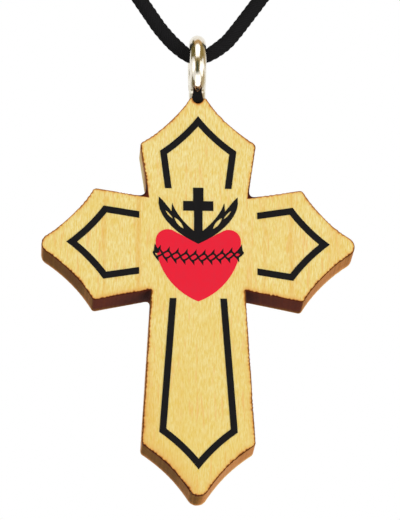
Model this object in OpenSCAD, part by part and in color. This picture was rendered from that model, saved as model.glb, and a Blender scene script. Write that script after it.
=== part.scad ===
// Wooden cross pendant: a laser-cut board printed on its front, hung from a
// screw eye on a twisted cord. Millimetres. The origin is the centre of the
// eye, +Z is up and the printed front faces -Y.

/* [Board] */
// Width of the cross from arm tip to arm tip
board_w = 30; // [26:0.5:40]
// Thickness of the board
board_t = 4; // [2.5:0.1:6]
// Height of the top arm's corners above the middle of the cross
top_corner_z = 10.2; // [9:0.1:16]
// Depth of the foot's corners below the middle of the cross
foot_corner_z = 19.6; // [14:0.1:30]
// Half width of the top and side arms at their outer corners
corner_half = 5.5; // [5.2:0.1:6.5]
// Half width of the foot at its outer corners
foot_half = 5.4; // [5.2:0.1:6.5]
// Half width of the cross at its two upper inner corners
upper_inner = 4.8; // [4.4:0.1:5]
// Half width of the cross at its two lower inner corners
lower_inner = 4.5; // [4.2:0.1:5]

/* [Arm ends] */
// How far a tip stands out past its corners
end_reach = 5; // [4.5:0.1:5.5]
// Radius of the rounded tips
tip_r = 1; // [0.6:0.1:1.4]
// Radius of the hollow curves between corner and tip
ogee_r = 15; // [11:0.5:24]
// How much of the top tip is cut off flat, as a seat for the eye
seat_cut = 0.35; // [0.1:0.05:0.5]
// Radius of the burnt notch across the seat
notch_r = 0.62; // [0.3:0.01:0.65]

/* [Screw eye] */
// Thickness of the eye's wire
wire_d = 1.6; // [1:0.1:2]
// Clear hole inside the eye
eye_hole_d = 2.8; // [2.4:0.1:5]
// Inner radius of the bend between the loop and the neck
bend_inner_r = 0.2; // [0.15:0.05:1]
// Angle between straight down and the wire's cut end, at the back of the loop
cut_angle = 24; // [22:1:40]
// Length of the straight neck between the bend and the seat
neck_l = 0.96; // [0.5:0.02:3]
// Thickness of the shank in the wood
shank_d = 1.1; // [0.7:0.05:1.2]
// Length of the shank below the seat
shank_l = 6.5; // [3:0.5:9]
// Play around the shank in its pilot hole
shank_gap = 0.01; // [0.01:0.01:0.05]

/* [Print] */
// Thickness of the printed ink
ink_t = 0.05; // [0.03:0.01:0.15]
// Width of the border lines
line_w = 0.64; // [0.3:0.02:0.8]
// Distance from the board's straight edges to the border lines
line_inset = 1.68; // [1.2:0.02:2]
// Distance from the board's hollow curves to the border lines
line_end_inset = 1.8; // [1.2:0.02:2]
// Rise of the whole print above the middle of the cross
print_rise = 0.2; // [-0.3:0.05:0.4]
// Gap between the border lines' ends and the level of the inner corners
line_stop = 1; // [0.4:0.1:2]
// The same gap in the top arm
top_line_stop = 0.68; // [0.4:0.02:2]
// Half widths that the foot's line follows, at the foot's corners and at the
// inner corners: it spreads a little more than the foot does
foot_line_half = 5.46; // [5.2:0.02:6.5]
foot_line_inner = 4.34; // [4.2:0.02:5]

/* [Heart] */
// Width of the heart
heart_w = 8.16; // [6:0.02:8.6]
// Height of the heart's widest level above its point
heart_h = 6; // [4.5:0.1:6.6]
// Height of the heart's point below the middle of the print
heart_drop = 5.8; // [4.6:0.1:6.2]
// Radius of the heart's two upper lobes
lobe_r = 1.15; // [0.8:0.05:1.4]
// Depth of the cleft's foot below the heart's widest level
cleft_drop = 0.3; // [0.1:0.05:0.6]
// Height of the cross between the flames, above the middle of the print
emblem_h = 5.55; // [5.2:0.05:5.7]

/* [Thorn band] */
// Depth of the band's middle below the middle of the print
band_drop = 1.44; // [1.3:0.02:1.8]
// How much higher the band is at its ends
band_bow = 0.5; // [0.2:0.05:0.7]
// How far the band passes the heart at each side
band_over = 0.2; // [0.05:0.05:0.3]
// Number of twists in the band
twists = 5; // [3:1:6]
// How far a stem swings up and down
twist_rise = 0.34; // [0.24:0.02:0.4]
// How far a stem leans to the right for each step up
twist_lean = 0.35; // [0:0.05:0.5]
// Thickness of the stems
stem_w = 0.19; // [0.12:0.01:0.22]
// Width and length of a thorn
thorn_w = 0.4; // [0.3:0.05:0.5]
thorn_l = 0.54; // [0.4:0.02:0.6]
// Height of the long thorn at each end of the band
end_thorn_l = 0.85; // [0.6:0.05:1.1]

/* [Cord] */
// Thickness of the cord
cord_d = 1.4; // [1:0.1:1.5]
// Diameter of the knot at each end of the cord
knot_d = 3.8; // [2.6:0.1:4.2]

/* [Hidden] */
$fn = 64;

maple = "#e3c98a";
nickel = "#c9c6bd";
ink = "#1c1b1c";
red_ink = "#e81f3c";
cord_black = "#161617";

// Ends of the cross, each seen from the middle of the cross along its arm
arm_corner = board_w / 2 - end_reach;
side_inner = (upper_inner + lower_inner) / 2;

// The wire's middle line: radii of the loop and of the bend, which touch each
// other, the angle where they meet and how far the bend's middle is below the loop's
loop_r = (eye_hole_d + wire_d) / 2;
bend_r = bend_inner_r + wire_d / 2;
join_angle = asin(bend_r / (loop_r + bend_r));
bend_drop = (loop_r + bend_r) * cos(join_angle);

// Heights above the middle of the cross
seat_z = top_corner_z + end_reach - seat_cut;
eye_z = seat_z + neck_l + bend_drop;

// A cut passes this far through the face that it opens
over = 1;

// Middle of an arm's rounded tip, along the arm from its two corners
tip_mid = end_reach - tip_r;

// Middle of the hollow circle beside an arm's end, [across, along] from the
// corners. It touches the rounded tip from outside and passes through the corner.
function ogee_mid(half) =
    let (
        span = norm([half, tip_mid]),
        run = ((ogee_r + tip_r) ^ 2 - ogee_r ^ 2 + span ^ 2) / (2 * span),
        rise = sqrt((ogee_r + tip_r) ^ 2 - run ^ 2),
        dir = [half, -tip_mid] / span
    )
    [0, tip_mid] + run * dir + rise * [-dir.y, dir.x];

// Where the rounded tip meets the hollow curve, along the arm
function tip_tangent(half) = tip_mid + tip_r * (ogee_mid(half).y - tip_mid) / (ogee_r + tip_r);

// Half width of an arm at a level above its corners, set in from the flank
function flank(level, half, inner_half, arm_l, inset) =
    half + (half - inner_half) / arm_l * level - inset * norm([half - inner_half, arm_l]) / arm_l;

// An arm between two levels, with its flanks and its hollow curves set in by margins
module arm_end(half, inner_half, arm_l, low, high, inset = 0, end_inset = 0) {
    low_half = flank(low, half, inner_half, arm_l, inset);
    high_half = flank(high, half, inner_half, arm_l, inset);
    difference() {
        polygon([[-low_half, low], [low_half, low], [high_half, high], [-high_half, high]]);
        for (side = [-1, 1])
            translate([side * ogee_mid(half).x, ogee_mid(half).y])
                circle(r = ogee_r + end_inset, $fn = 180);
    }
}

// The ogee end of the board itself, above its two corners
module board_end(half) {
    arm_end(half, half, 1, 0, tip_tangent(half));
    translate([0, tip_mid]) circle(r = tip_r);
}

// Places an outline at one arm: turned about the middle and moved to its corners
module at_arm(angle, distance) {
    rotate(angle) translate([0, distance]) children();
}

// Outline of the whole cross, with the seat and its notch at the top
module cross_outline() {
    difference() {
        union() {
            polygon([
                [upper_inner, upper_inner], [corner_half, top_corner_z],
                [-corner_half, top_corner_z], [-upper_inner, upper_inner],
                [-arm_corner, corner_half], [-arm_corner, -corner_half],
                [-lower_inner, -lower_inner], [-foot_half, -foot_corner_z],
                [foot_half, -foot_corner_z], [lower_inner, -lower_inner],
                [arm_corner, -corner_half], [arm_corner, corner_half],
            ]);
            at_arm(0, top_corner_z) board_end(corner_half);
            at_arm(90, arm_corner) board_end(corner_half);
            at_arm(-90, arm_corner) board_end(corner_half);
            at_arm(180, foot_corner_z) board_end(foot_half);
        }
        translate([-corner_half, seat_z]) square([2 * corner_half, over + seat_cut]);
        translate([0, seat_z]) circle(r = notch_r);
    }
}

// Stands an outline up in the board's own plane, between two depths
module upright(front_y, back_y) {
    translate([0, back_y, -eye_z])
        rotate([90, 0, 0])
            linear_extrude(height = back_y - front_y)
                children();
}

// Stands a printed outline on the front face
module printed() {
    upright(-board_t / 2 - ink_t, -board_t / 2)
        translate([0, print_rise])
            children();
}

// The shank's profile: half its width against the depth below the seat
module shank_profile(grow, top) {
    point_l = shank_d;
    polygon([
        [0, top], [shank_d / 2 + grow, top], [shank_d / 2 + grow, -shank_l + point_l],
        [shank_d / 8, -shank_l - grow], [0, -shank_l - grow],
    ]);
}

// One border line: two legs beside the flanks, joined by two hollow curves
module border_line(half, inner_half, arm_l, stop = line_stop) {
    low = -arm_l + stop;
    difference() {
        arm_end(half, inner_half, arm_l, low, end_reach, line_inset, line_end_inset);
        arm_end(half, inner_half, arm_l, low - over, end_reach,
                line_inset + line_w, line_end_inset + line_w);
    }
}

// Points along an arc about a middle, from one angle to another
function arc(mid, r, from, to, steps) = [
    for (i = [0:steps])
        let (a = from + (to - from) * i / steps)
        mid + r * [cos(a), sin(a)]
];

// Points along a curve that leaves a towards b and comes to d from c
function curve(a, b, c, d, steps) = [
    for (i = [0:steps])
        let (t = i / steps, s = 1 - t)
        s ^ 3 * a + 3 * s ^ 2 * t * b + 3 * s * t ^ 2 * c + t ^ 3 * d
];

// A right half, listed upwards from the middle line, closed by its mirror image
module mirrored_outline(half) {
    polygon(concat(half, [for (i = [len(half) - 1:-1:0]) [-half[i].x, half[i].y]]));
}

// A leaf from a to b that swells to each side by a share of its length
module leaf(a, b, swell) {
    third = (b - a) / 3;
    out = [a.y - b.y, b.x - a.x] * swell;
    polygon(concat(
        curve(a, a + third + out, b - third + out, b, 5),
        curve(b, b - third - out, a + third - out, a, 5)
    ));
}

// Plain outline of the heart. Each side is one arc that starts at the point and
// is upright at the widest level, and a lobe goes on from there to the cleft.
module heart_outline() {
    side_off = (heart_h ^ 2 - (heart_w / 2) ^ 2) / heart_w;
    side_r = heart_w / 2 + side_off;
    level = heart_h - heart_drop;
    mirrored_outline(concat(
        arc([-side_off, level], side_r, -asin(heart_h / side_r), 0, 14),
        arc([heart_w / 2 - lobe_r, level], lobe_r, 10, 115, 10),
        [[0, level - cleft_drop]]
    ));
}

// The emblem: a small upright cross between two flames, each with a long outer
// tongue, a short inner one and two bare slits inside. It is drawn in tenths of
// its own height.
module emblem_outline() {
    u = emblem_h / 10;
    outer_tip = [6.81, 8.32] * u;
    fork = [4.63, 5.71] * u;
    inner_tip = [4.5, 7.23] * u;
    stem_half = 0.74 * u;
    head_half = 0.9 * u;
    bar_half = 2.61 * u;
    bar_low = 5.84 * u;
    bar_high = 7.57 * u;
    difference() {
        mirrored_outline(concat(
            curve([0, -0.13] * u, [2.34, 0.81] * u, [7.57, 4.32] * u, outer_tip, 10),
            curve(outer_tip, [6.04, 7.66] * u, [5.4, 6.7] * u, fork, 4),
            curve(inner_tip, [3.96, 5.41] * u, [2.34, 3.51] * u, [stem_half, 2.16 * u], 8),
            [[stem_half, bar_low], [bar_half, bar_low], [bar_half, bar_high]],
            [[head_half, bar_high], [head_half, emblem_h]]
        ));
        for (side = [0, 1]) mirror([side, 0]) {
            leaf([5.73, 5.93] * u, [4.36, 4.32] * u, 0.1);
            leaf([4.14, 4.6] * u, [2.52, 2.56] * u, 0.16);
        }
    }
}

// Middle height of the thorn band at a place across the heart, and a point of
// one of its two stems, which twist about each other in opposite phase
band_half = heart_w / 2 + band_over;
function band_z(x) = band_bow * (x / band_half) ^ 2 - band_drop;
function stem_point(x, phase) =
    let (rise = twist_rise * sin(twists * 180 * (x / band_half + 1) + phase))
    [x + twist_lean * rise, band_z(x) + rise];

// One stem as a narrow strip along its wave
module stem(phase) {
    steps = 12 * twists + 1;
    middle = [for (i = [0:steps]) stem_point(band_half * (2 * i / steps - 1), phase)];
    out = [
        for (i = [0:steps])
            let (d = middle[min(i + 1, steps)] - middle[max(i - 1, 0)])
            [-d.y, d.x] / norm(d) * stem_w / 2
    ];
    polygon(concat(
        [for (i = [0:steps]) middle[i] + out[i]],
        [for (i = [steps:-1:0]) middle[i] - out[i]]
    ));
}

// A thorn on the upper or the lower side of a stem. All lean to the right.
module thorn(side) {
    polygon([[-0.6 * thorn_w, 0], [0.4 * thorn_w, 0], [0.4 * thorn_w, side * thorn_l]]);
}

// The long thorn at an end of the band. It leans outwards.
module end_thorn(side) {
    polygon([[-side * 1.5 * thorn_w, 0], [0, 0], [-side * 0.3 * thorn_w, end_thorn_l]]);
}

// Lays out the pieces of the thorn band one by one: the two stems, a pair of
// thorns at every half twist, and a leaf and a long thorn at each end
module each_thorn_piece() {
    printed() stem(0);
    printed() stem(180);
    for (side = [-1, 1]) {
        end = [side * band_half, band_z(band_half)];
        printed() leaf(end - [side * 1.6 * thorn_w, 0], end + [side * thorn_w / 4, 0], 0.2);
        printed() translate(end) end_thorn(side);
        for (i = [0:2 * twists - 1]) {
            x = band_half * ((i + 0.5) / twists - 1);
            crest = side * (twist_rise - stem_w / 4);
            printed() translate([x + twist_lean * crest, band_z(x) + crest]) thorn(side);
        }
    }
}

// Cord: its middle line from the left knot through the eye to the right knot
cord_route = [
    [-9.9, 13.6], [-8.5, 11.4], [-7, 9.05], [-5.6, 6.85], [-4.4, 4.95], [-3.7, 3.85], [-3, 2.9],
    [-2.4, 2.2], [-1.8, 1.6], [-1.2, 1.1], [-0.6, 0.75], [0, 0.66], [0.6, 0.75], [1.2, 1.05],
    [1.8, 1.45], [2.4, 1.95], [3, 2.55], [3.8, 3.6], [5.1, 5.45], [6.2, 7], [7.7, 9.15],
    [9.2, 11.3], [10.8, 13.6],
];
cord_sides = 8;
last = len(cord_route) - 1;

// Direction of the cord at a point of its route
function along(i) =
    let (d = cord_route[min(i + 1, last)] - cord_route[max(i - 1, 0)]) d / norm(d);

// A ring of the cord's corners around a point of its route
function cord_ring(i) = [
    for (k = [0:cord_sides - 1])
        let (a = 360 * (k + 0.5) / cord_sides, d = along(i), r = cord_d / 2)
        [cord_route[i].x - d.y * r * cos(a), r * sin(a), cord_route[i].y + d.x * r * cos(a)]
];

// The cord as one tube through all its rings
module cord_tube() {
    corners = [for (i = [0:last]) each cord_ring(i)];
    skin = [
        for (i = [0:last - 1], k = [0:cord_sides - 1])
            let (a = i * cord_sides, b = a + cord_sides, n = (k + 1) % cord_sides)
            [a + k, b + k, b + n, a + n]
    ];
    start_cap = [for (k = [0:cord_sides - 1]) k];
    end_cap = [for (k = [cord_sides - 1:-1:0]) last * cord_sides + k];
    polyhedron(points = corners, faces = concat(skin, [start_cap], [end_cap]));
}

// A knot: a ball with a flat where the cord's end meets it
module knot(at, towards) {
    flat = sqrt(knot_d ^ 2 - cord_d ^ 2) / 2;
    d = (towards - at) / norm(towards - at);
    translate([at.x - d.x * flat, 0, at.y - d.y * flat])
        rotate([0, atan2(d.x, d.y), 0])
            rotate_extrude()
                intersection() {
                    circle(d = knot_d);
                    translate([0, -knot_d / 2]) square([knot_d / 2, knot_d / 2 + flat]);
                }
}

module cross_board() {
    color(maple)
        difference() {
            upright(-board_t / 2, board_t / 2) cross_outline();
            translate([0, 0, seat_z - eye_z])
                rotate_extrude() shank_profile(shank_gap, over);
        }
}

// A round bend of the wire, from the +X direction towards +Y about the origin
module wire_bend(radius, angle) {
    rotate_extrude(angle = angle)
        translate([radius, 0])
            circle(d = wire_d);
}

// The eye is one bent wire. From its pointed shank in the wood it goes up the
// neck, bends forward and runs round the loop to its cut end at the back. A tiny
// swelling covers the seam where the two bends meet, so that they make one solid.
module screw_eye() {
    swelling = 0.01;
    color(nickel) {
        rotate([0, 90, 180])
            rotate([0, 0, join_angle])
                wire_bend(loop_r, 360 - cut_angle - join_angle, $fn = 96);
        translate([0, -bend_r, -bend_drop])
            rotate([90, 0, 90])
                wire_bend(bend_r, 90 - join_angle);
        translate([0, -loop_r * sin(join_angle), -loop_r * cos(join_angle)])
            sphere(d = wire_d + 2 * swelling);
        translate([0, 0, seat_z - eye_z])
            cylinder(d = wire_d, h = neck_l);
        translate([0, 0, seat_z - eye_z])
            rotate_extrude() shank_profile(0, neck_l / 2);
    }
}

module top_line() {
    color(ink) printed() at_arm(0, top_corner_z)
        border_line(corner_half, upper_inner, top_corner_z - upper_inner, top_line_stop);
}

module left_line() {
    color(ink) printed() at_arm(90, arm_corner)
        border_line(corner_half, side_inner, arm_corner - side_inner);
}

module right_line() {
    color(ink) printed() at_arm(-90, arm_corner)
        border_line(corner_half, side_inner, arm_corner - side_inner);
}

module foot_line() {
    color(ink) printed() at_arm(180, foot_corner_z)
        border_line(foot_line_half, foot_line_inner, foot_corner_z - lower_inner);
}

module heart() {
    color(red_ink)
        difference() {
            printed()
                difference() {
                    heart_outline();
                    emblem_outline();
                }
            each_thorn_piece();
        }
}

module heart_emblem() {
    color(ink) printed() emblem_outline();
}

module thorn_band() {
    color(ink) each_thorn_piece();
}

module neck_cord() {
    color(cord_black) cord_tube();
}

module left_knot() {
    color(cord_black) knot(cord_route[0], cord_route[1]);
}

module right_knot() {
    color(cord_black) knot(cord_route[last], cord_route[last - 1]);
}

cross_board();
screw_eye();
top_line();
left_line();
right_line();
foot_line();
heart();
heart_emblem();
thorn_band();
neck_cord();
left_knot();
right_knot();
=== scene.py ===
# %% [markdown]
# # A wooden cross pendant
# The pendant is a small maple board, cut by a laser, printed on its front and hung from a screw eye
# on a black twisted cord. The solids already hold every size, so they are opened first, as a frame
# that nothing here moves. This lesson adds what solids can't show: burnt edges, grain, ink, plated
# wire and a laid cord.

import bmesh
import bpy
import numpy as np
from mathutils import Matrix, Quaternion, Vector
from mathutils.geometry import delaunay_2d_cdt


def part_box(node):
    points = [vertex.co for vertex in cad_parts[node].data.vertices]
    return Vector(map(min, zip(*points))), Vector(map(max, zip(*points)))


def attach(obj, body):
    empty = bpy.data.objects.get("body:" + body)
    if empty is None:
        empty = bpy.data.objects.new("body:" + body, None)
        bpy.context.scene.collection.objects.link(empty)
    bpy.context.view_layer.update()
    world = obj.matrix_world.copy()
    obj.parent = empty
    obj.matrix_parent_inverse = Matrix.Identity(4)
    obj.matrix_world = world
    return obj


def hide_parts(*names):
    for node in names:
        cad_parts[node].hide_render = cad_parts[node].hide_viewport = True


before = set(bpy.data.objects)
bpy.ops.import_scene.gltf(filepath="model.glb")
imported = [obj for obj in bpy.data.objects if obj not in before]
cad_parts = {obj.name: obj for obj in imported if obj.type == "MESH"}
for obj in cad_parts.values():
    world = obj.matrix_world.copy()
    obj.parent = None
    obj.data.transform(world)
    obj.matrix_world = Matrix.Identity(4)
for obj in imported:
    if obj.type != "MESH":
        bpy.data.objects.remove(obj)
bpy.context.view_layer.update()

MM = 0.001

# %% [markdown]
# ## The board's sizes
# The board's outline is drawn from a few sizes, in millimetres. Its width, thickness and lowest
# point come from the solid itself. Heights of the outline are counted from the middle of the cross,
# and `middle_z` carries them into the frame, whose origin is the middle of the screw eye.

# %% Sizes of the board
# Half the width of the top arm, a side arm and the foot at their outer corners
top_half = 5.6
arm_half = 5.62
foot_half = 5.4
# How far out and up the inner corners lie, above and below the side arms
upper_inner = 4.8
lower_inner = 4.5
# Heights of the outer corners on the top arm and the foot, and how far an arm reaches past them
top_corner = 10.2
foot_corner = 19.6
end_reach = 5
# The round tip, the hollow curve beside it, the flat seat cut into the top tip, and its notch
tip_r = 1
ogee_r = 15
seat_cut = 0.35
notch_r = 0.52

board_low, board_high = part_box("cross_board")
front_y = board_low.y / MM
back_y = board_high.y / MM
arm_corner = board_high.x / MM - end_reach
tip_mid = end_reach - tip_r
seat = top_corner + end_reach - seat_cut
middle_z = board_low.z / MM + foot_corner + end_reach
print(f"board {back_y - front_y:.2f} mm thick, its middle is {middle_z:.2f} mm from the eye's")

# %% [markdown]
# ## Camera
# The photograph looks slightly up at the pendant with a long lens. The line of sight is given by two
# angles, the point of the front face in the middle of the picture, and the distance to it.

# %% Place the camera
sight_azimuth = np.radians(2.727)
sight_rise = np.radians(16.65)
sight_roll = np.radians(-0.089)
sight_distance = 346.9
sight_point = Vector((0.16, front_y, middle_z - 1.48))

sight = Vector((
    np.sin(sight_azimuth) * np.cos(sight_rise),
    np.cos(sight_azimuth) * np.cos(sight_rise),
    np.sin(sight_rise),
))
camera_data = bpy.data.cameras.new("camera")
camera_data.sensor_width = 36
camera_data.lens = 251.5
camera_data.clip_start = 0.01
camera = bpy.data.objects.new("camera", camera_data)
camera.location = (sight_point - sight * sight_distance) * MM
camera.rotation_mode = "QUATERNION"
camera.rotation_quaternion = sight.to_track_quat("-Z", "Y") @ Quaternion((0, 0, 1), sight_roll)
bpy.context.scene.collection.objects.link(camera)
bpy.context.scene.camera = camera
bpy.context.scene.view_settings.view_transform = "Standard"
print("camera at", tuple(round(c, 4) for c in camera.location))

# %% [markdown]
# ## Tools for meshes
# Every new piece is worked out as whole arrays of points. A sheet of points, rows by columns, becomes
# a mesh whose columns close into a ring. These helpers turn points in millimetres into a piece in
# metres that rides on the frame's one body.

# %% Turn arrays into pieces
def ring_quads(rows, columns):
    """Faces between neighbouring rows of a sheet whose last column is joined to its first."""
    row = np.arange(rows - 1)[:, None] * columns
    here = np.arange(columns)[None]
    there = (here + 1) % columns
    corners = [row + here, row + columns + here, row + columns + there, row + there]
    return np.stack(corners, axis=-1).reshape(-1, 4).tolist()


def tube_faces(rows, columns):
    """Faces of such a sheet, and one flat face over each of its two open ends."""
    last = (rows - 1) * columns
    return ring_quads(rows, columns) + [list(range(columns)), list(range(last, last + columns))]


def make_piece(name, points, faces, replaced):
    """A mesh piece in the frame, in metres, that stands for the named solids."""
    mesh = bpy.data.meshes.new(name)
    mesh.from_pydata((points * MM).tolist(), [], faces)
    clean = bmesh.new()
    clean.from_mesh(mesh)
    bmesh.ops.recalc_face_normals(clean, faces=clean.faces)
    clean.to_mesh(mesh)
    clean.free()
    mesh.shade_smooth()
    piece = bpy.data.objects.new(name, mesh)
    bpy.context.scene.collection.objects.link(piece)
    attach(piece, "root")
    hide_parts(*replaced)
    print(f"{name}: {len(mesh.vertices)} points, {len(mesh.polygons)} faces")
    return piece


def give_attribute(piece, name, values):
    """Stores one number for each point of a piece, for its finish to read."""
    attribute = piece.data.attributes.new(name, "FLOAT", "POINT")
    attribute.data.foreach_set("value", np.asarray(values, np.float32).ravel())


# %% [markdown]
# ## Neck cord
# The cord is laid from strands that twist about each other, and it runs down through the eye and up
# again. What is outside the picture holds it, so each end is knotted just past the view. Its middle
# line is a smooth curve through a few given points. The knots follow the same line, so the strands run
# on into them. Where the cord lies on the wire, its own pull squeezes it thinner.

# %% Middle line of the cord
cord_diameter = 1.4
cord_route = np.array([
    (-9.9, 0, 13.6), (-8.5, 0, 11.4), (-7, 0, 9.05), (-5.6, 0, 6.85), (-4.4, 0, 5),
    (-3.7, 0, 3.95), (-3, 0, 3.07), (-2.4, 0, 2.39), (-1.8, 0, 1.82), (-1.2, 0, 1.31),
    (-0.6, 0, 0.92), (0, 0, 0.78), (0.6, 0, 0.88), (1.2, 0, 1.22), (1.8, 0, 1.62),
    (2.4, 0, 2.09), (3, 0, 2.64), (3.8, 0, 3.65), (5.1, 0, 5.45), (6.2, 0, 7),
    (7.7, 0, 9.15), (9.2, 0, 11.3), (10.8, 0, 13.6),
])
# An overhand knot: along the cord, beside it and across it, in diameters of the cord
knot_turns = np.array([
    (0.9, 0, 0.5), (1.6, 0, 0), (2.3, 0, -0.5), (3.1, -0.1, -0.3), (3.65, 0.5, 0.15),
    (3.5, 1.2, 0.5), (2.8, 1.85, 0.35), (1.8, 1.95, 0), (1, 1.3, -0.35), (0.8, 0.1, -0.55),
    (1.05, -0.9, -0.25), (1.7, -1.15, 0.25), (2.3, -0.2, 0.55), (2.55, 0.75, 0.1),
    (3.3, 1.25, -0.5), (4.2, 1.35, -0.35), (4.8, 1.4, -0.15),
])
knot_pull = 0.82
ring_spacing = 0.11
samples = 60


def smooth_line(points, spacing):
    """A curve through the points (Catmull-Rom): between two points it is the cubic whose slope at
    each is half the step between that point's two neighbours. Sampled at an even spacing."""
    ends = [2 * points[0] - points[1], *points, 2 * points[-1] - points[-2]]
    knots = np.array(ends)
    place = np.linspace(0, len(points) - 1, samples * len(points))
    index = np.minimum(place.astype(int), len(points) - 2)
    part = (place - index)[:, None]
    a, b, c, d = (knots[index + shift] for shift in range(4))
    bend = (2 * a - 5 * b + 4 * c - d) * part**2 + (3 * b - a - 3 * c + d) * part**3
    line = (2 * b + (c - a) * part + bend) / 2
    steps = np.linalg.norm(np.diff(line, axis=0), axis=1)
    run = np.concatenate([[0], np.cumsum(steps)])
    even = np.linspace(0, run[-1], int(run[-1] / spacing) + 1)
    return np.stack([np.interp(even, run, line[:, axis]) for axis in range(3)], axis=1)


def knot_points(end, before, side):
    """The knot's points past an end of the cord: the end plus a turn's three numbers times the
    direction in which the cord leaves, the one beside it and the one across, in pulled diameters."""
    along = (end - before) / np.linalg.norm(end - before)
    across = np.array([0, side, 0])
    beside = np.cross(across, along)
    axes = np.stack([along, beside, across])
    return end + knot_turns @ axes * cord_diameter * knot_pull


left_turns = knot_points(cord_route[0], cord_route[1], -1)
right_turns = knot_points(cord_route[-1], cord_route[-2], 1)
whole_route = np.concatenate([left_turns[::-1], cord_route, right_turns])
whole_line = smooth_line(whole_route, ring_spacing)
print(f"cord and knots follow {len(whole_line)} rings")

# %% Lay the strands round the middle line
strands = 4
lay_length = 2.6
fullness = 0.78
overlap = 1.04
ring_points = 48
# Shares of the plain radius: what the cord has away from the eye, and what the wire takes off it
# within a reach in mm
loose = 1.04
squeeze = 0.2
squeeze_reach = 1.3


def carried_axes(line):
    """Two directions across the line at each point, carried along it without turning about it."""
    tangents = np.gradient(line, axis=0)
    tangents /= np.linalg.norm(tangents, axis=1)[:, None]
    across = [np.cross(tangents[0], (0, 1, 0))]
    for tangent in tangents[1:]:
        flat = across[-1] - tangent * (across[-1] @ tangent)
        across.append(flat / np.linalg.norm(flat))
    across = np.array(across) / np.linalg.norm(across, axis=1)[:, None]
    return across, np.cross(tangents, across)


def laid_rings(line, radius):
    """Rings of a laid rope. Each strand is a circle of radius b whose middle is at a from the rope's
    middle, so at an angle t from a strand's middle the surface lies at a cos t + root(b2 - a2 sin2 t).
    Neighbours would just touch, and the overlap makes them meet. Pulled tight, they fill up to a
    plain round by the share named fullness. They turn once about the line in each lay length. The
    radius is a number for each ring."""
    steps = np.linalg.norm(np.diff(line, axis=0), axis=1)
    run = np.concatenate([[0], np.cumsum(steps)])[:, None]
    around = np.linspace(0, 2 * np.pi, ring_points, endpoint=False)[None]
    sector = 2 * np.pi / strands
    turned = around - 2 * np.pi * run / lay_length
    from_middle = (turned + sector / 2) % sector - sector / 2
    strand_middle = radius / (1 + np.sin(sector / 2))
    strand_r = overlap * (radius - strand_middle)
    lobes = strand_middle * np.cos(from_middle) + np.sqrt(
        strand_r**2 - (strand_middle * np.sin(from_middle)) ** 2
    )
    reach = fullness * radius + (1 - fullness) * lobes
    first, second = carried_axes(line)
    spread = np.cos(around)[..., None] * first[:, None] + np.sin(around)[..., None] * second[:, None]
    return line[:, None] + reach[..., None] * spread, turned / sector, run + 0 * around


crossing = np.array([0, 0, 0.78])
eye_gap = np.linalg.norm(whole_line - crossing, axis=1)[:, None]
whole_radius = cord_diameter / 2 * (loose - squeeze * np.exp(-(eye_gap / squeeze_reach) ** 2))
whole_rings, whole_strand, whole_run = laid_rings(whole_line, whole_radius)


def cord_piece(name, first, last, replaced):
    """The part of the laid rope between two of its rings, closed at both ends."""
    rings = whole_rings[first:last + 1]
    faces = tube_faces(len(rings), ring_points)
    piece = make_piece(name, rings.reshape(-1, 3), faces, replaced)
    give_attribute(piece, "strand", whole_strand[first:last + 1])
    give_attribute(piece, "run", whole_run[first:last + 1])
    return piece


left_end = int(np.argmin(np.linalg.norm(whole_line - cord_route[0], axis=1)))
right_end = int(np.argmin(np.linalg.norm(whole_line - cord_route[-1], axis=1)))
neck_cord = cord_piece("laid_cord", left_end, right_end, ["neck_cord"])
left_knot = cord_piece("left_overhand_knot", 0, left_end, ["left_knot"])
right_knot = cord_piece("right_overhand_knot", right_end, len(whole_line) - 1, ["right_knot"])

# %% [markdown]
# ## Outline of the board
# A laser follows one closed line. Each arm ends in an ogee: a hollow curve from the corner that runs
# smoothly into a round tip. The right half is listed as legs, straight or round, from the notch under
# the eye down to the foot's tip, and the left half is the mirror image of the same legs. Where two
# legs meet, the cut is rounded. Most of these rounds are tiny, but each upper inner corner is filled
# by a web that the beam left standing, and the left one is the larger. The beam widens on its way
# through the wood, so the lower inner corners are sharper in front than behind, and the outline is a
# function of the depth.

# %% Legs of the right half
def straight(start, end):
    """A leg that goes evenly from start to end."""
    start, end = np.array(start, float), np.array(end, float)
    return (lambda part: start + (end - start) * part[:, None]), np.linalg.norm(end - start)


def bowed(middle, start, end):
    """A leg on a circle: middle plus radius times the cosine and sine of an even run of angles."""
    middle = np.array(middle, float)
    out, target = np.array(start) - middle, np.array(end) - middle
    radius = np.linalg.norm(out)
    begin = np.arctan2(out[1], out[0])
    sweep = (np.arctan2(target[1], target[0]) - begin + np.pi) % (2 * np.pi) - np.pi

    def leg(part):
        angle = begin + sweep * part
        return middle + radius * np.stack([np.cos(angle), np.sin(angle)], axis=1)

    return leg, radius * abs(sweep)


def ogee(half):
    """Corner, middle of the hollow circle, and the point where it touches the round tip, each as
    (across, along) from the middle between an arm's two corners. The hollow circle's middle is
    ogee_r from the corner and ogee_r + tip_r from the tip's middle."""
    span = np.hypot(half, tip_mid)
    run = ((ogee_r + tip_r) ** 2 - ogee_r**2 + span**2) / (2 * span)
    rise = np.sqrt((ogee_r + tip_r) ** 2 - run**2)
    to_corner = np.array([half, -tip_mid]) / span
    middle = (0, tip_mid) + run * to_corner + rise * np.array([-to_corner[1], to_corner[0]])
    touch = (0, tip_mid) + (middle - (0, tip_mid)) * tip_r / (ogee_r + tip_r)
    return (half, 0), tuple(middle), tuple(touch)


def on_top(point):
    """Carries (across, along) to the top arm: along points up, from its two corners."""
    return point[0], top_corner + point[1]


def on_arm_above(point):
    """Carries (across, along) to the right arm's upper half: across points up, along points right."""
    return arm_corner + point[1], point[0]


def on_arm_below(point):
    """The same for the right arm's lower half, where across points down."""
    return arm_corner + point[1], -point[0]


def on_foot(point):
    """Carries (across, along) to the foot: along points down, from its two corners."""
    return point[0], -foot_corner - point[1]


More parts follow.
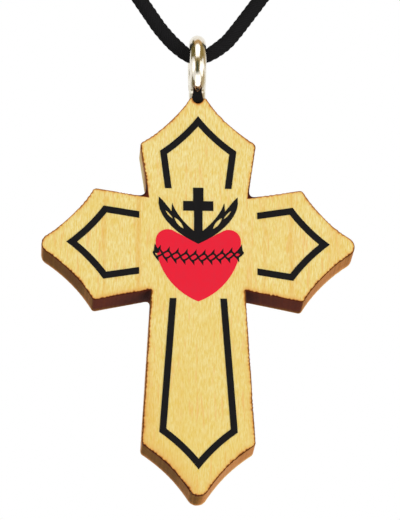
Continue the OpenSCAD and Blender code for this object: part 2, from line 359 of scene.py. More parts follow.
top_end, top_hollow, top_touch = ogee(top_half)
arm_end, arm_hollow, arm_touch = ogee(arm_half)
foot_end, foot_hollow, foot_touch = ogee(foot_half)
tip = (0, tip_mid)
seat_half = np.sqrt(tip_r**2 - (tip_r - seat_cut) ** 2)
legs = [
    bowed((0, seat), (0, seat - notch_r), (notch_r, seat)),
    straight((notch_r, seat), (seat_half, seat)),
    bowed(on_top(tip), (seat_half, seat), on_top(top_touch)),
    bowed(on_top(top_hollow), on_top(top_touch), on_top(top_end)),
    straight(on_top(top_end), (upper_inner, upper_inner)),
    straight((upper_inner, upper_inner), on_arm_above(arm_end)),
    bowed(on_arm_above(arm_hollow), on_arm_above(arm_end), on_arm_above(arm_touch)),
    bowed(on_arm_above(tip), on_arm_above(arm_touch), on_arm_below(arm_touch)),
    bowed(on_arm_below(arm_hollow), on_arm_below(arm_touch), on_arm_below(arm_end)),
    straight(on_arm_below(arm_end), (lower_inner, -lower_inner)),
    straight((lower_inner, -lower_inner), on_foot(foot_end)),
    bowed(on_foot(foot_hollow), on_foot(foot_end), on_foot(foot_touch)),
    bowed(on_foot(tip), on_foot(foot_touch), (0, -foot_corner - end_reach)),
]
# How far each join between two legs is rounded along the first, in front and behind, and the
# share of that along the second. Only the upper inner corner differs from side to side
smooth = (0, 0, 1)
fine = (0.06, 0.06, 1)
outer = (0.3, 0.3, 1)
lower_join = (0.1, 0.55, 1)
right_upper = (0.85, 0.95, 0.9)
left_upper = (1.45, 1.55, 0.75)
right_joins = [
    fine, fine, smooth, outer, right_upper, outer, smooth, smooth, outer, lower_join, outer, smooth
]
left_joins = [left_upper if join == right_upper else join for join in right_joins]
print(f"right half of the outline: {sum(length for leg, length in legs):.1f} mm")

# %% Outline at a depth
outline_step = 0.08
join_points = 7


def half_outline(depth_share, joins):
    """Points down the right half. A join is a parabola from a point on one leg to a point on the
    next, with the sharp corner as its control point, so a larger share of depth rounds it more."""
    cuts = [(1 - depth_share) * front + depth_share * behind for front, behind, _ in joins]
    cuts_after = [cut * share for cut, (_, _, share) in zip(cuts, joins)]
    points = []
    for i, (leg, length) in enumerate(legs):
        start = cuts_after[i - 1] / length if i else 0
        stop = 1 - cuts[i] / length if i < len(cuts) else 1
        count = max(2, int(length / outline_step))
        part = np.linspace(start, stop, count)
        points.append(leg(part) if i == 0 or cuts[i - 1] else leg(part)[1:])
        if i < len(cuts) and cuts[i]:
            next_leg, next_length = legs[i + 1]
            before, sharp = leg(np.array([stop, 1.0]))
            after = next_leg(np.array([cuts_after[i] / next_length]))[0]
            t = np.linspace(0, 1, join_points + 2)[1:-1, None]
            points.append((1 - t) ** 2 * before + 2 * t * (1 - t) * sharp + t**2 * after)
    return np.concatenate(points)


def outline(depth_share):
    """The closed outline, clockwise as seen from the front: the right half, and the left half as the
    mirror image of the same legs with its own joins."""
    right = half_outline(depth_share, right_joins)
    left = half_outline(depth_share, left_joins)[-2:0:-1] * (-1, 1)
    return np.concatenate([right, left])


def outward(ring):
    """Unit directions out of a clockwise outline: its steps turned a quarter to the left."""
    step = np.roll(ring, -1, axis=0) - np.roll(ring, 1, axis=0)
    step /= np.linalg.norm(step, axis=1)[:, None]
    return np.stack([-step[:, 1], step[:, 0]], axis=1)


front_ring = outline(0)
ring_steps = np.linalg.norm(np.roll(front_ring, -1, axis=0) - front_ring, axis=1)
ring_run = np.concatenate([[0], np.cumsum(ring_steps)[:-1]])
ring_length = ring_steps.sum()
print(f"outline: {len(front_ring)} points, {ring_length:.1f} mm round")

# %% [markdown]
# ## How the beam marked the edge
# The laser fires in pulses, so the edge is a row of tiny scallops, deepest where the beam enters. It
# also burns, most where it dwells in the inner corners. The walls under the arms are darker, and the
# seat of the eye is least burnt. The right-hand lower curves and the flanks that face left are painted
# paler: painted light, for the light that falls on them.
# On the front the lower edges are marked dark and the upper ones only tanned. Each such place is found
# by which way the edge faces there, and burns are shares from 0, bare wood, to 1, char. What makes the
# marks uneven is a smooth random wave along the outline, made of sines with whole numbers of waves, so
# that it closes on itself.

# %% Scallops along the outline
random = np.random.default_rng(11)
pulse = 0.5
scallop_depth = 0.045


def wave(length, terms=6):
    """A smooth random wave about as long as given: a few sines with random phases, scaled to 1."""
    middle = ring_length / length
    counts = np.round(middle * random.uniform(0.6, 1.5, terms))
    phases = random.uniform(0, 2 * np.pi, terms)
    angles = 2 * np.pi * counts * ring_run[:, None] / ring_length + phases
    return np.sin(angles).sum(axis=1) / np.sqrt(terms / 2)


# The two narrow ears beside the notch stay plain
from_notch = np.hypot(front_ring[:, 0], front_ring[:, 1] - seat)
plain = np.clip((from_notch - 0.85) / 0.4, 0, 1)
pulses = np.round(ring_length / pulse)
pulse_phase = np.pi * pulses * ring_run / ring_length + 0.9 * wave(2.5)
scallops = np.abs(np.sin(pulse_phase)) * np.clip(0.6 + 0.45 * wave(5), 0.1, 1.2) * plain
streaks = 0.6 * wave(0.45) + 0.5 * wave(1.2) + 0.5 * wave(4)
print(f"{pulses:.0f} scallops round the edge")

# %% Scorch and painted light along the outline
ring_x, ring_z = front_ring.T
out_x, out_z = outward(front_ring).T
inner_corners = np.array([
    (side * reach, height * reach)
    for reach, height in ((upper_inner, 1), (lower_inner, -1)) for side in (-1, 1)
])
to_corner = np.linalg.norm(front_ring[:, None] - inner_corners[None], axis=2).min(axis=1)
on_arms = (np.abs(ring_z) < arm_half + 1.2) & (np.abs(ring_x) < arm_corner + 0.4)
under_arm = np.clip(-out_z, 0, 1) ** 4 * on_arms
# Painted light: the right-hand lower walls and their rim are made paler, for the light from the right
painted_light_right = np.clip(out_x, 0, 1) * np.clip(-out_z + 0.25, 0, 1) ** 0.6
# Painted light: the walls that face left, away from the inner corners, are made paler
painted_light_left = np.clip(-out_x - 0.75, 0, 1) / 0.25 * (1 - np.exp(-to_corner / 1.2))
seat_top = np.clip(out_z, 0, 1) ** 4 * (from_notch < 1.2)
# The top arm's left flank, where the rear of the wall is painted paler still as painted light
painted_light_flank = painted_light_left * (ring_z > upper_inner)
# Burn of each stretch of wall, less the painted light
edge_burn_and_painted_light = (
    0.66 + 0.16 * under_arm + 0.2 * np.exp(-to_corner / 1.4)
    - 0.32 * painted_light_right * (1 - under_arm) - 0.36 * painted_light_left - 0.5 * seat_top
    - 0.05 * (out_z < -0.3) * (ring_z < -arm_corner)
)
# How dark the beam marked the rim of the front face: from tanned on top to burnt below, and painted
# paler on the right-hand lower curves as painted light
rim_burn_and_painted_light = 0.38 + 0.4 * np.clip(0.5 - 0.8 * out_z, 0, 1) - 0.2 * painted_light_right * (1 - under_arm)
print(f"scorch from {edge_burn_and_painted_light.min():.2f} to {edge_burn_and_painted_light.max():.2f}")

# %% [markdown]
# ## Board
# The side wall is the outline carried from front to back, with a tiny round at both edges. The two
# faces are Delaunay meshes that share the wall's first and last row. They get rows of points close to
# the edge, where the burn fades out, and a coarse grid inside. Each point stores how burnt it is, less
# the painted light that makes some walls paler. On the wall the burn goes from the front rim's to the
# edge's own within a fraction of a millimetre, and towards the rear rim it grows paler.

# %% Side wall
thickness = back_y - front_y
edge_round = 0.035
shoulder = 0.3 * edge_round
# Depth of each row of points behind the front face, and how far the row is set in
wall_rows = [
    (0, edge_round), (shoulder, shoulder), (edge_round, 0), (0.12, 0), (0.25, 0), (0.45, 0),
    (0.8, 0), (1.4, 0), (2.1, 0), (2.8, 0), (thickness - 0.6, 0), (thickness - 0.25, 0),
    (thickness - 0.1, 0), (thickness - edge_round, 0), (thickness - shoulder, shoulder),
    (thickness, edge_round),
]
# How deep the scallops and the front rim's burn reach, and how far the pale rear rim reaches in
scallop_reach = 0.8
front_reach = 0.14
rear_reach = 0.3
# The least share of a scallop or of the edge's round that is left anywhere
least_share = 0.3
# Share of burn that the rear rim lacks, share by which the rear of the top arm's left flank is painted
# paler as painted light, and a streak's own
rear_paler = 0.55
flank_painted_light = 0.4
streak_burn = 0.018


def in_frame(flat, level):
    """Carries points of the outline's plane, (across, up), into the frame at one level of depth."""
    return np.stack([flat[:, 0], np.full(len(flat), level), flat[:, 1] + middle_z], axis=1)


wall_points = []
wall_burn_and_painted_light = []
for depth, set_in in wall_rows:
    share = depth / thickness
    ring = outline(share)
    fade = least_share + (1 - least_share) * np.exp(-depth / scallop_reach)
    bevel = set_in * (least_share + (1 - least_share) * plain)
    ring = ring - outward(ring) * (bevel + scallop_depth * fade * scallops)[:, None]
    wall_points.append(in_frame(ring, front_y + depth))
    near_front = np.exp(-depth / front_reach)
    near_back = np.exp(-(thickness - depth) / rear_reach)
    row_burn_and_painted_light = edge_burn_and_painted_light * (1 - near_front) + rim_burn_and_painted_light * near_front - rear_paler * near_back
    # Painted light: the rear of the top arm's left flank is made paler
    row_burn_and_painted_light -= flank_painted_light * painted_light_flank * np.clip((share - 0.15) / 0.4, 0, 1)
    wall_burn_and_painted_light.append(row_burn_and_painted_light + streak_burn * streaks)
columns = len(front_ring)
print(f"wall: {len(wall_rows)} rows of {columns} points")

# %% Front and back faces
burn_rows = (0.05, 0.1, 0.17, 0.26, 0.4, 0.6)
face_grid = 0.8
grid_gap = 0.35


def inside(points, ring):
    """True for points inside a closed outline: a line from there to the right meets the outline an
    odd number of times."""
    ahead = np.roll(ring, -1, axis=0)
    above = (ring[None, :, 1] > points[:, None, 1]) != (ahead[None, :, 1] > points[:, None, 1])
    rise = ahead[:, 1] - ring[:, 1]
    slope = (ahead[:, 0] - ring[:, 0]) / np.where(rise == 0, 1, rise)
    meets = ring[None, :, 0] + (points[:, None, 1] - ring[None, :, 1]) * slope[None]
    return (above & (points[:, None, 0] < meets)).sum(axis=1) % 2 == 1


def nearest(points, ring):
    """Distance to the nearest point of an outline, and which point that is."""
    gaps = np.linalg.norm(points[:, None] - ring[None], axis=2)
    return gaps.min(axis=1), gaps.argmin(axis=1)


def face_points(ring):
    """Points inside a face: rows set in from its edge, and a coarse grid in the middle. A row's point
    that comes closer to another stretch of the edge is dropped."""
    found = []
    for k, set_in in enumerate(burn_rows):
        row = (ring - outward(ring) * set_in)[::1 + k // 2]
        gap, _ = nearest(row, ring)
        found.append(row[(gap > 0.93 * set_in) & inside(row, ring)])
    (left, bottom), (right, top) = ring.min(axis=0), ring.max(axis=0)
    across, up = np.meshgrid(np.arange(left, right, face_grid), np.arange(bottom, top, face_grid))
    grid = np.stack([across.ravel(), up.ravel()], axis=1)
    grid = grid[inside(grid, ring)]
    gap, _ = nearest(grid, ring)
    found.append(grid[gap > burn_rows[-1] + grid_gap])
    return np.concatenate(found)


def face_scorch(points, ring):
    """Burnt at the edge, with a brown halo that fades within half a millimetre, wider along the lower
    edges of the arms, and a faint toast round the foot, broader on its left."""
    gap, index = nearest(points, ring)
    width = np.clip(0.07 + 0.03 * streaks[index], 0.03, 0.14)
    halo = np.clip(0.17 + 0.05 * streaks[index], 0.06, 0.3)
    burnt = rim_burn_and_painted_light[index] * np.exp(-(gap / width) ** 2) + 0.22 * np.exp(-gap / halo)
    low = np.clip((-ring[index, 1] - 8) / 8, 0, 1)
    toast = np.where(points[:, 0] < 0, 0.12 * np.exp(-gap / 1.3), 0.06 * np.exp(-gap / 0.8))
    burnt += 0.13 * under_arm[index] * np.exp(-gap / 0.5) + toast * low
    return burnt


points = list(wall_points)
burn_and_painted_light = list(wall_burn_and_painted_light)
faces = ring_quads(len(wall_rows), columns)
for row, level in ((0, front_y), (len(wall_rows) - 1, back_y)):
    edge = wall_points[row][:, [0, 2]] - (0, middle_z)
    extra = face_points(edge)
    flat = [Vector(p) for p in np.concatenate([edge, extra])]
    loop = [(i, (i + 1) % columns) for i in range(columns)]
    triangles = np.array(delaunay_2d_cdt(flat, loop, [], 1, 1e-7)[2])
    start = sum(len(part) for part in points)
    numbers = np.concatenate([row * columns + np.arange(columns), start + np.arange(len(extra))])
    faces += numbers[triangles].tolist()
    points.append(in_frame(extra, level))
    burn_and_painted_light[row] = face_scorch(edge, edge)
    burn_and_painted_light.append(face_scorch(extra, edge))
    print(f"face at {level:.2f}: {len(extra)} points inside, {len(triangles)} triangles")

board = make_piece("burnt_maple_board", np.concatenate(points), faces, ["cross_board"])
give_attribute(board, "burn_and_painted_light", np.concatenate(burn_and_painted_light))

# %% [markdown]
# ## Screw eye
# A small screw eye is one bent wire. It comes up out of the wood, leans forward and runs round the
# loop until its cut end almost meets its own neck at the back. The line of the wire is a straight
# neck, an elbow and a long arc that touch each other, and the wire's round section is carried along.
# Below the wood's edge it is the thinner shank. The front of the neck is painted black: painted shade
# and a painted reflection of the dark notch.

# %% Line of the wire
_, eye_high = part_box("screw_eye")
wire_r = eye_high.x / MM
loop_r = eye_high.z / MM - wire_r
seat_z = board_high.z / MM
shank_r = 0.55
shank_end = seat_z - 1.2
elbow_r = wire_r + 0.2
join_angle = np.arcsin(elbow_r / (loop_r + elbow_r))
end_angle = np.radians(336)
elbow_z = -(loop_r + elbow_r) * np.cos(join_angle)


def wire_line(spacing):
    """The neck goes straight up, the elbow turns forward, and the loop runs from the joining angle
    to the end angle, both counted from straight down towards the front."""
    shank = np.linspace(shank_end, seat_z, 12)
    neck = np.concatenate([shank, np.linspace(seat_z + 0.01, elbow_z, 14)])
    turn = np.linspace(0, np.pi / 2 - join_angle, 18)[1:]
    loop = np.linspace(join_angle, end_angle, int(loop_r * 2 * np.pi / spacing))[1:]
    depth = np.concatenate([0 * neck, elbow_r * (np.cos(turn) - 1), -loop_r * np.sin(loop)])
    height = np.concatenate([neck, elbow_z + elbow_r * np.sin(turn), -loop_r * np.cos(loop)])
    return np.stack([0 * depth, depth, height], axis=1)


wire = wire_line(0.12)
sides = 64
around = np.linspace(0, 2 * np.pi, sides, endpoint=False)
along = np.gradient(wire, axis=0)
along /= np.linalg.norm(along, axis=1)[:, None]
sideways = np.array([1.0, 0, 0])
upright = np.cross(along, sideways)
# The cut end's rim is a quarter round, and the wire is the thinner shank below the wood's edge
round_off = 0.12
steps_back = np.linalg.norm(np.diff(wire[::-1], axis=0), axis=1)
run_left = np.concatenate([np.cumsum(steps_back)[::-1], [0]])
end_share = np.clip(1 - run_left / round_off, 0, 1)
wire_radius = wire_r - round_off * (1 - np.sqrt(1 - end_share**2))
wire_radius = np.where(wire[:, 2] > seat_z, wire_radius, shank_r)
section = np.cos(around)[:, None] * sideways + np.sin(around)[:, None] * upright[:, None]
eye_points = wire[:, None] + wire_radius[:, None, None] * section
screw_eye = make_piece(
    "bent_wire_eye", eye_points.reshape(-1, 3), tube_faces(len(wire), sides),
    ["screw_eye"],
)

# %% Painted shade and dark reflection on the neck
# Painted shade and a painted reflection of the dark notch: a black tongue on the front that widens
# downwards, its top bends up at both sides, and a quarter of it reaches round the back
painted_dark_top = -2.88
eye_heights = eye_points[..., 2]
painted_dark_half = 0.36 + 0.16 * np.clip((painted_dark_top - eye_heights) / 0.8, 0, 1)
beside = np.abs(eye_points[..., 0]) / painted_dark_half
painted_dark_edge = painted_dark_top + 0.3 * beside**2
below = np.clip((painted_dark_edge - eye_heights) / 0.2 + 0.5, 0, 1)
in_front = np.clip((1.3 - beside) / 0.3, 0.25, 1)
painted_dark = np.where(eye_heights < seat_z + 0.005, 1, below * in_front)
give_attribute(screw_eye, "painted_dark", painted_dark)
print(f"soot covers {np.mean(painted_dark > 0.5):.0%} of the wire's points")

# %% [markdown]
# ## Tools for finishes
# A finish is a small net of nodes. `Signal` wraps one socket, so that sums on it read as ordinary
# maths, and `Finish` makes the nodes. Whatever changes over a surface goes into the shader's colour,
# roughness, metal or bump, and what stays the same is set on the shader itself.

# %% Signals and finishes
class Signal:
    """A number that varies over a surface. Each sum on it adds one Math node."""

    def __init__(self, finish, socket):
        self.finish = finish
        self.socket = socket

    def __add__(self, other):
        return self.finish.maths("ADD", self, other)

    __radd__ = __add__

    def __sub__(self, other):
        return self.finish.maths("SUBTRACT", self, other)

    def __rsub__(self, other):
        return self.finish.maths("SUBTRACT", other, self)

    def __mul__(self, other):
        return self.finish.maths("MULTIPLY", self, other)

    __rmul__ = __mul__


class Finish:
    """A material under construction."""

    def __init__(self, name):
        self.material = bpy.data.materials.new(name)
        self.material.use_nodes = True
        self.tree = self.material.node_tree
        self.shader = self.tree.nodes["Principled BSDF"]

    def connect(self, socket, value):
        """Links a signal to a socket, or writes a plain value into it."""
        if isinstance(value, Signal):
            self.tree.links.new(value.socket, socket)
        else:
            socket.default_value = value

    def node(self, kind, inputs, output=0, stops=None, **settings):
        """Adds a node: its settings first, then a ramp's stops, then its sockets."""
        made = self.tree.nodes.new(kind)
        for key, value in settings.items():
            setattr(made, key, value)
        if stops:
            ramp = made.color_ramp
            while len(ramp.elements) < len(stops):
                ramp.elements.new(0.5)
            for element, (place, colour) in zip(ramp.elements, stops):
                element.position = place
                element.color = colour
        for key, value in inputs.items():
            self.connect(made.inputs[key], value)
        return Signal(self, made.outputs[output])

    def maths(self, operation, first, second=0.0):
        """One Math node on signals or plain numbers."""
        return self.node("ShaderNodeMath", {0: first, 1: second}, operation=operation)

    def step(self, value, low, high):
        """0 below low, 1 above high, and a smooth rise between."""
        inputs = {"Value": value, "From Min": low, "From Max": high}
        return self.node("ShaderNodeMapRange", inputs, interpolation_type="SMOOTHSTEP")

    def blend(self, share, first, second):
        """The first colour where share is 0 and the second where it is 1. The node has a set of
        sockets for each kind of value under the same names, so its colours are found by number."""
        return self.node(
            "ShaderNodeMix", {0: share, 6: first, 7: second}, output=2, data_type="RGBA"
        )

    def place(self, turn=(0, 0, 0), scale=(1, 1, 1)):
        """Object coordinates in millimetres, turned and then stretched."""
        where = self.node("ShaderNodeTexCoord", {}, output="Object")
        scale = tuple(s / MM for s in scale)
        inputs = {"Vector": where, "Rotation": turn, "Scale": scale}
        return self.node("ShaderNodeMapping", inputs)

    def noise(self, where, scale=1.0, detail=2.0, roughness=0.5, distortion=0.0):
        """Smooth random clouds round 0.5, about as many to each unit of the place as scale says."""
        inputs = {
            "Vector": where, "Scale": scale, "Detail": detail,
            "Roughness": roughness, "Distortion": distortion,
        }
        return self.node("ShaderNodeTexNoise", inputs)

    def attribute(self, name):
        """A number that a piece stores for each of its points."""
        return self.node("ShaderNodeAttribute", {}, output="Fac", attribute_name=name)

    def bump(self, height, strength, distance):
        """Turns a height signal into the shader's normal. Distance is in millimetres."""
        inputs = {"Height": height, "Strength": strength, "Distance": distance * MM}
        self.connect(self.shader.inputs["Normal"], self.node("ShaderNodeBump", inputs))

    def set(self, **values):
        """Sets the shader's sockets. Spaces in their names are written as underlines."""
        for key, value in values.items():
            self.connect(self.shader.inputs[key.replace("_", " ")], value)

    def give(self, *pieces):
        """Puts the finish on the pieces in place of what they wear."""
        for piece in pieces:
            piece.data.materials.clear()
            piece.data.materials.append(self.material)
        print(f"{self.material.name}: {len(self.tree.nodes)} nodes, on {len(pieces)} pieces")


def paint(red, green, blue):
    """A colour as it looks on a screen, from 0 to 255, turned into the light that it reflects."""
    shares = np.array([red, green, blue]) / 255
    light = np.where(shares <= 0.04045, shares / 12.92, ((shares + 0.055) / 1.055) ** 2.4)
    return (*light.tolist(), 1.0)


# %% [markdown]
# ## Maple and its burnt edge
# Maple is pale gold and nearly plain. Seen close, it has short fine flecks along the grain, broad
# bands that are a little more orange, and a soft mottle. The grain runs up the cross, and this piece
# is a little more golden towards its foot, with a few soft growth lines across its side arms. Along
# the edge the stored scorch toasts the flecks where it is faint, and turns the wood ochre, brown and
# at last almost black. The webs in the two upper inner corners are charred too. Their borders are
# too crisp for numbers stored at the board's points, so the finish works them out from the place.

# %% Plain maple
light_wood = paint(247, 231, 166)
gold_wood = paint(235, 201, 96)
orange_wood = paint(240, 180, 96)
brown_fleck = paint(224, 174, 92)


def plain_maple(finish, fleck, fine_fleck, streak, height):
    """Light wood under layers of the other colours. How much of a layer shows is a smooth step on a
    cloud, or on the height, times the most that it may show."""
    band = finish.noise(finish.place(scale=(0.5, 0.5, 0.035)), scale=1, detail=2)
    mottle = finish.noise(finish.place(scale=(0.35, 0.35, 0.22)), scale=1, detail=2)
    wood = finish.blend(finish.step(fleck, 0.34, 0.68), light_wood, gold_wood)
    wood = finish.blend(finish.step(mottle, 0.4, 0.75) * 0.3, wood, gold_wood)
    wood = finish.blend(finish.step(height * -1.0, 12, 40) * 0.3, wood, gold_wood)
    wood = finish.blend(finish.step(streak, 0.55, 0.72) * 0.5, wood, orange_wood)
    wood = finish.blend(finish.step(band, 0.55, 0.75) * 0.18, wood, orange_wood)
    return finish.blend(finish.step(fine_fleck, 0.56, 0.74) * 0.4, wood, brown_fleck)


print("light wood reflects", tuple(round(part, 2) for part in light_wood[:3]))

# %% Growth lines and charred webs
toasted = paint(234, 184, 88)
# The growth lines in the two side arms: middle and half width in mm, and strength
growth_lines = ((-9, 0.35, 0.5), (-5.75, 0.48, 0.65), (6.3, 0.35, 0.35), (8.9, 0.35, 0.45))
# How much the two edges that meet in an upper inner corner lean outwards for each mm along them
flank_slope = (top_half - upper_inner) / (top_corner - upper_inner)
arm_slope = (arm_half - upper_inner) / (arm_corner - upper_inner)
web_border = 0.15
# Where the char fades out, in mm past the sharp corner: up the flank, and out along the arm
web_up = (0.8, 1.5)
web_out = (0.6, 1.1)


def with_growth_lines(finish, wood, across, fleck, streak):
    """A line shows most at its middle and not at all at its half width. The streaks shift it to and
    fro, and the flecks break it up."""
    for middle, half_wide, strength in growth_lines:
        beside = finish.maths("ABSOLUTE", across + (streak - 0.5) * 0.9 - middle)
        line = (1 - finish.step(beside, 0, half_wide)) * fleck * (2 * strength)
        wood = finish.blend(line, wood, toasted)
    return wood


def charred_web(finish, out, up):
    """1 past the straight lines of both edges, where there would be no wood if the corner were
    sharp, and 0 elsewhere. A line is the corner plus its slope times the way along it."""
    past_flank = out - (up - upper_inner) * flank_slope - upper_inner
    past_arm = up - (out - upper_inner) * arm_slope - upper_inner
    web = finish.step(past_flank, -web_border, 0) * finish.step(past_arm, -web_border, 0)
    web = web * (1 - finish.step(up, upper_inner + web_up[0], upper_inner + web_up[1]))
    return web * (1 - finish.step(out, upper_inner + web_out[0], upper_inner + web_out[1]))


print(f"{len(growth_lines)} growth lines, edges lean by {flank_slope:.3f} and {arm_slope:.3f}")

# %% Maple finish
burn_colours = [
    (0.0, paint(232, 190, 104)), (0.22, paint(220, 152, 78)), (0.42, paint(190, 120, 52)),
    (0.6, paint(122, 80, 18)), (0.78, paint(92, 35, 13)), (0.98, paint(58, 20, 14)),
]


def maple_finish():
    """Maple with its growth lines, toasted and then burnt by the scorch that the board stores, which
    is less where walls are painted paler as painted light.
    """
    finish = Finish("scorched_maple")
    grain = finish.place(turn=(0, np.radians(4), 0), scale=(1, 1, 0.16))
    fleck = finish.noise(grain, scale=8.5, detail=3, roughness=0.65, distortion=0.3)
    fine_fleck = finish.noise(grain, scale=15, detail=2, roughness=0.6)
    streak = finish.noise(finish.place(scale=(3, 3, 0.3)), scale=1, detail=2)
    across = finish.node("ShaderNodeSeparateXYZ", {"Vector": finish.place()}, output="X")
    height = finish.node("ShaderNodeSeparateXYZ", {"Vector": finish.place()}, output="Z")
    wood = plain_maple(finish, fleck, fine_fleck, streak, height)
    wood = with_growth_lines(finish, wood, across, fleck, streak)

    burn_and_painted_light = finish.attribute("burn_and_painted_light")
    toast = finish.step(burn_and_painted_light, 0, 0.12) * (0.25 + fleck * 0.5)
    wood = finish.blend(toast, wood, toasted)
    web = charred_web(finish, finish.maths("ABSOLUTE", across), height - middle_z)
    burn_and_painted_light = burn_and_painted_light + web * 0.8
    smoke = finish.noise(finish.place(), scale=2.2, detail=3)
    smoky = {"Fac": burn_and_painted_light + (smoke - 0.5) * 0.14}
    burnt = finish.node("ShaderNodeValToRGB", smoky, stops=burn_colours)
    colour = finish.blend(finish.step(burn_and_painted_light, 0.03, 0.3), wood, burnt)
    rough = 0.5 + finish.step(burn_and_painted_light, 0.2, 0.7) * 0.25
    finish.set(Base_Color=colour, Roughness=rough, Specular_IOR_Level=0.08)
    finish.bump(fleck * 0.7 + fine_fleck * 0.3, 0.25, 0.02)
    return finish


maple_finish().give(board)

# %% [markdown]
# ## Ink
# The print lies on the grain as a thin satin film. It is nearly plain, with a faint mottle where the
# wood drinks it, and the grain can just be felt through it.

# %% Printed inks
def ink_finish(name, colour, mottled):
    """A film of one colour that goes over to a second where flecks and clouds are strong."""
    finish = Finish(name)
    grain = finish.place(scale=(1, 1, 0.16))
    fleck = finish.noise(grain, scale=4.6, detail=3)
    cloud = finish.noise(finish.place(), scale=1.6, detail=2)
    shade = finish.step(fleck, 0.35, 0.75) * 0.5 + finish.step(cloud, 0.4, 0.7) * 0.5
    film = finish.blend(shade, colour, mottled)
    finish.set(Base_Color=film, Roughness=0.5 + fleck * 0.15, Specular_IOR_Level=0.05)
    finish.bump(fleck, 0.2, 0.01)
    return finish


black_ink = ink_finish("black_ink", paint(24, 23, 24), paint(28, 27, 28))
red_ink = ink_finish("red_ink", paint(238, 34, 56), paint(232, 40, 60))
black_print = ["top_line", "left_line", "right_line", "foot_line", "heart_emblem", "thorn_band"]
black_ink.give(*(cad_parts[node] for node in black_print))
red_ink.give(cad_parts["heart"])

# %% [markdown]
# ## Nickel and cord
# The eye is bright nickel plate, slightly warm, with the faint ripple of a dipped finish. On the neck
# it is painted black and dull for the shade there and the dark notch that it reflects, with a brown
# edge painted for the burnt wood that it reflects. The cord is black yarn: each strand is itself
# twisted from fine fibres, which run at a slant across it.

# %% Plated wire and black yarn
def nickel_finish():
    """Bright plate that goes brown and then black and dull as the stored painted dark rises to 1: the
    brown is a painted reflection of the burnt wood, and the black is painted shade and a painted
    reflection of the dark notch.
    """
    finish = Finish("bright_nickel")
    ripple = finish.noise(finish.place(), scale=0.9, detail=2)
    stain = finish.noise(finish.place(), scale=2.5, detail=3)
    painted_dark = finish.attribute("painted_dark")
    plate = finish.blend(finish.step(stain, 0.4, 0.7), paint(236, 229, 214), paint(226, 218, 198))
    # Painted reflection of the burnt wood: a brown edge round the painted dark
    painted_wood_reflection = finish.blend(finish.step(painted_dark, 0.25, 0.6), plate, paint(130, 84, 48))
    finish.set(
        Base_Color=finish.blend(finish.step(painted_dark, 0.45, 0.8), painted_wood_reflection, paint(20, 18, 19)),
        Metallic=1.0 - finish.step(painted_dark, 0.6, 1.0),
        Roughness=0.16 + stain * 0.06 + painted_dark * 0.5,
        Specular_IOR_Level=0.1,
    )
    finish.bump(ripple, 0.15, 0.05)
    return finish


# Fibres to a strand round the cord, and to a mm along it
fibres_round = 4.0
fibres_along = 3.4


def yarn_finish():
    """Fibres at a slant: they are counted round and along the cord, and what the count has after its
    point, folded about a half, falls from 1 to 0 and rises again over each fibre."""
    finish = Finish("black_yarn")
    strand = finish.attribute("strand")
    run = finish.attribute("run")
    slant = finish.maths("FRACT", strand * fibres_round + run * fibres_along)
    fibre = finish.maths("ABSOLUTE", slant - 0.5) * 2.0
    fuzz = finish.noise(finish.place(), scale=9, detail=3)
    colour = finish.blend(fibre * 0.6 + fuzz * 0.4, paint(20, 20, 21), paint(32, 31, 32))
    finish.set(Base_Color=colour, Roughness=0.8 + fuzz * 0.1, Specular_IOR_Level=0.06)
    finish.bump(fibre + fuzz * 0.5, 0.4, 0.03)
    return finish


nickel_finish().give(screw_eye)
yarn_finish().give(neck_cord, left_knot, right_knot)

# %% [markdown]
# ## Studio
# The pendant hangs before white, far above a pale floor. Large soft lamps stand in front of it and one
# behind, and the world fills the rest. Polished wire shows whatever stands round it: here a dim room
# with warm walls, bright windows above, below and at both sides, and the dark camera. Each is a card
# that glows by itself, and only reflections see it. The lamps stay out of the reflections.

# %% World and floor
def white_where_seen(tree):
    """1 for rays from the camera, from a reflection or through something clear, otherwise 0."""
    path = tree.nodes.new("ShaderNodeLightPath")
    total = path.outputs["Is Camera Ray"]
    for name in ("Is Glossy Ray", "Is Transmission Ray"):
        either = tree.nodes.new("ShaderNodeMath")
        either.operation = "MAXIMUM"
        tree.links.new(total, either.inputs[0])
        tree.links.new(path.outputs[name], either.inputs[1])
        total = either.outputs[0]
    return total


world = bpy.data.worlds.new("white_studio")
bpy.context.scene.world = world
world.use_nodes = True
seen = white_where_seen(world.node_tree)
background = world.node_tree.nodes["Background"]
background.inputs["Color"].default_value = (1, 1, 1, 1)
brightness = world.node_tree.nodes.new("ShaderNodeMapRange")
brightness.inputs["To Min"].default_value = 0.5
brightness.inputs["To Max"].default_value = 1.0
world.node_tree.links.new(seen, brightness.inputs["Value"])
world.node_tree.links.new(brightness.outputs[0], background.inputs["Strength"])


def card(name, middle, width, height, facing):
    """A flat rectangle of the studio, in metres, that faces a point."""
    mesh = bpy.data.meshes.new(name)
    x, y = width / 2, height / 2
    mesh.from_pydata([(-x, -y, 0), (x, -y, 0), (x, y, 0), (-x, y, 0)], [], [(0, 1, 2, 3)])
    made = bpy.data.objects.new(name, mesh)
    made.location = middle
    made.rotation_mode = "QUATERNION"
    made.rotation_quaternion = (Vector(facing) - Vector(middle)).to_track_quat("Z", "Y")
    bpy.context.scene.collection.objects.link(made)
    return made


floor_z = -0.75
floor = card("floor", (0, 0, floor_z), 8, 8, (0, 0, 0))
floor_paint = Finish("pale_floor")
floor_paint.set(Base_Color=paint(238, 238, 236), Roughness=0.9)
glow = floor_paint.node("ShaderNodeEmission", {"Color": (1, 1, 1, 1), "Strength": 1.0})
shown = Signal(floor_paint, white_where_seen(floor_paint.tree))
floor_mix = floor_paint.node("ShaderNodeMixShader", {0: shown * 0.8, 2: glow})
floor_paint.tree.links.new(floor_paint.shader.outputs[0], floor_mix.socket.node.inputs[1])
floor_paint.tree.links.new(floor_mix.socket, floor_paint.tree.nodes["Material Output"].inputs[0])
floor_paint.give(floor)

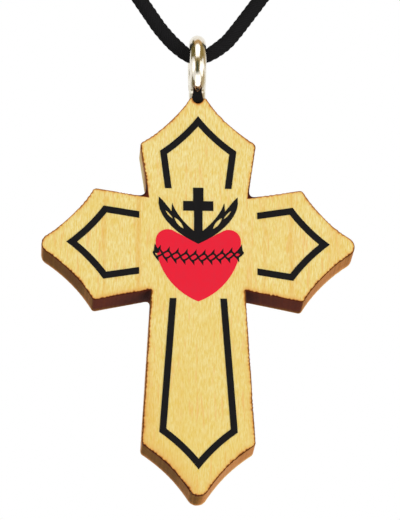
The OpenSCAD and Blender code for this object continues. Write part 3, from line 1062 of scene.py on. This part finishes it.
# %% Room for the wire's reflections
def glowing(name, colour, strength=1.0):
    """A finish that only sends out light."""
    finish = Finish(name)
    finish.set(Base_Color=(0, 0, 0, 1), Roughness=1.0, Specular_IOR_Level=0)
    finish.set(Emission_Color=colour, Emission_Strength=strength)
    return finish


window_light = glowing("window_light", (1, 1, 1, 1), 1.8)
camera_black = glowing("camera_black", paint(73, 80, 61))
dark_wall = glowing("dark_wall", paint(111, 99, 52))
dim_wall = glowing("dim_wall", paint(151, 131, 75))
pale_wall = glowing("pale_wall", paint(190, 174, 140))
gold_ceiling = glowing("gold_ceiling", paint(196, 158, 104))


def hide_from_all_but_reflections(made):
    """After this only glossy rays see the object."""
    made.visible_camera = False
    made.visible_diffuse = False
    made.visible_shadow = False
    made.visible_transmission = False


def reflection_card(name, finish, azimuth, rise, half_wide, half_high, distance=0.3):
    """A card seen from the eye at a direction and with half a width and half a height that are all
    in degrees. Azimuth 0 is in front, and it grows to the right. Only reflections see the card."""
    a, e = np.radians(azimuth), np.radians(rise)
    towards = Vector((np.sin(a) * np.cos(e), -np.cos(a) * np.cos(e), np.sin(e)))
    width, height = 2 * distance * np.tan(np.radians((half_wide, half_high)))
    made = card(name, towards * distance, width, height, (0, 0, 0))
    hide_from_all_but_reflections(made)
    finish.give(made)


reflection_card("camera_card", camera_black, -12, -20, 17, 22, distance=0.26)
reflection_card("upper_window", window_light, -9, 43, 26, 26, distance=0.28)
reflection_card("left_window", window_light, -64, -8, 20, 13)
reflection_card("right_window", window_light, 52, -17, 28, 19)
reflection_card("low_window", window_light, 0, -86, 33, 33)
reflection_card("front_wall", dim_wall, 0, 10, 50, 50, distance=0.4)
reflection_card("left_wall", dark_wall, -86, 42, 33, 25, distance=0.36)
reflection_card("right_wall", dim_wall, 58, 42, 26, 28, distance=0.36)
reflection_card("far_right_wall", pale_wall, 100, 30, 22, 24, distance=0.4)
reflection_card("low_left_wall", dark_wall, -114, -34, 18, 17, distance=0.36)
reflection_card("low_right_wall", pale_wall, 104, -30, 26, 24, distance=0.4)
reflection_card("ceiling", gold_ceiling, 0, 88, 30, 13, distance=0.27)

# A card that glows just above the wood in front of the neck, seen only in reflections, paints a
# highlight on the underside of the loop
highlight_card_y = -1.65 * MM
highlight_card = card("loop_highlight_card", (0, highlight_card_y, (seat_z + 0.05) * MM), 2.2 * MM, 0.7 * MM, (0, highlight_card_y, 0))
hide_from_all_but_reflections(highlight_card)
window_light.give(highlight_card)

# %% Lamps
def soft_lamp(name, place, power, size):
    """A square soft lamp that faces the middle of the pendant."""
    data = bpy.data.lights.new(name, "AREA")
    data.energy = power
    data.size = size
    lamp = bpy.data.objects.new(name, data)
    lamp.location = place
    target = Vector((0, 0, -0.02))
    lamp.rotation_mode = "QUATERNION"
    lamp.rotation_quaternion = (target - Vector(place)).to_track_quat("-Z", "Y")
    lamp.visible_glossy = False
    bpy.context.scene.collection.objects.link(lamp)
    print(f"{name}: {power} W")


soft_lamp("key_lamp", (-0.25, -0.6, 0.35), 1.5, 0.4)
soft_lamp("fill_lamp", (0.45, -0.5, -0.1), 1.3, 0.4)
soft_lamp("low_lamp", (0.3, -0.25, -0.5), 0.9, 0.3)
soft_lamp("back_lamp", (0.1, 0.6, 0.35), 2.0, 0.4)
